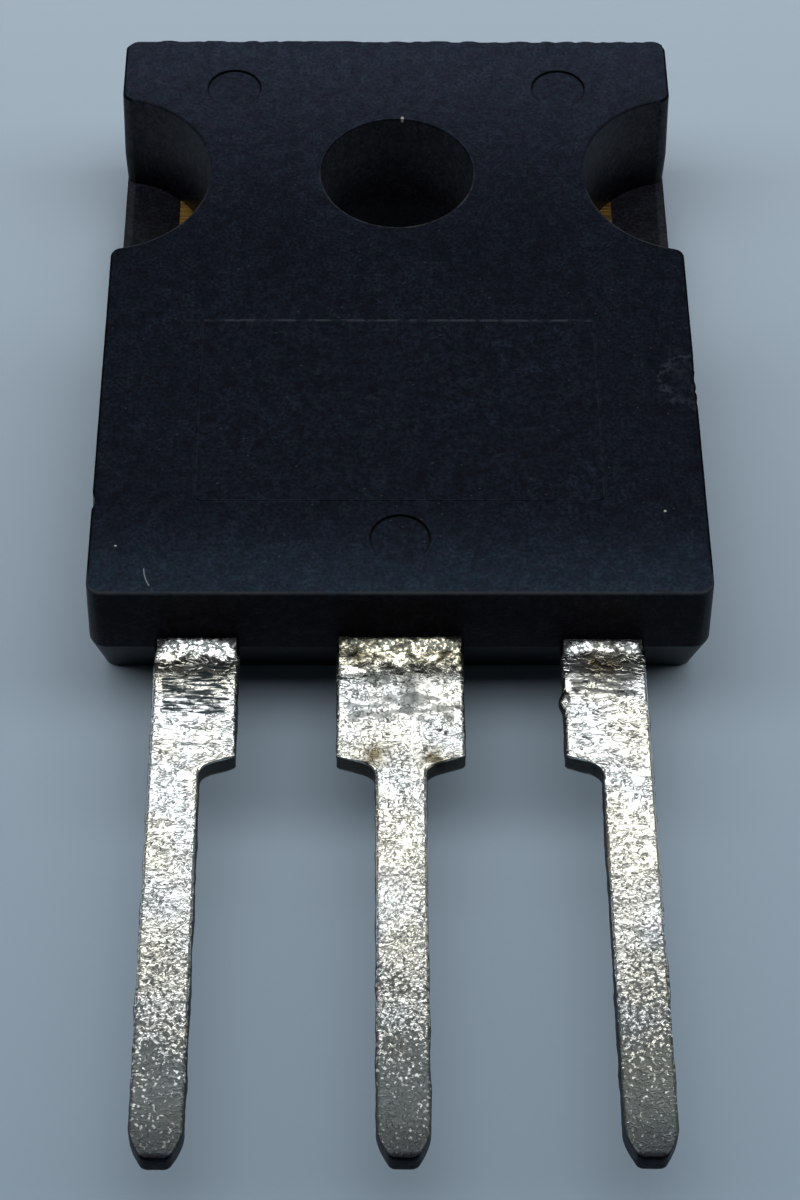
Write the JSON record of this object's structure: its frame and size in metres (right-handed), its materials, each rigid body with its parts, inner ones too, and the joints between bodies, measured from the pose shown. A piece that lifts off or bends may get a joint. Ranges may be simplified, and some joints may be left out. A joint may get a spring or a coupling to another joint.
{
  "type": "power mosfet",
  "caption": "Power transistor: flat black epoxy block with a screw hole, two clip notches, a bare copper back and a row of long flat soldered leads.",
  "frame": {"origin": "where the mounting hole's axis meets the heat-sink face, which is the bare back of the package", "axes": "+Z along the mounting hole, out of the front face; +Y towards the tab end, so the leads point to -Y; +X to the right seen from the front, with the gate lead on the -X side"},
  "size_m": [0.0154, 0.034, 0.005],
  "materials": {
    "epoxy": "fine matt moulded epoxy, near black",
    "tinned_copper": "tinned copper, solder-coated on the lead, bare copper edges in the notches",
    "soldered_lead": "copper lead under an uneven, wrinkled solder coat",
    "silicon": "polished silicon with aluminium metal on top",
    "solder": "dull soft solder",
    "aluminium_wire": "drawn aluminium wire"
  },
  "bodies": {
    "root": {"moulded_body": "epoxy", "drain_frame": "tinned_copper", "gate_lead": "soldered_lead", "source_lead": "soldered_lead", "mosfet_die": "silicon", "die_solder": "solder", "gate_wire": "aluminium_wire", "source_wire_1": "aluminium_wire", "source_wire_2": "aluminium_wire", "source_wire_3": "aluminium_wire"}
  },
  "joints": []
}
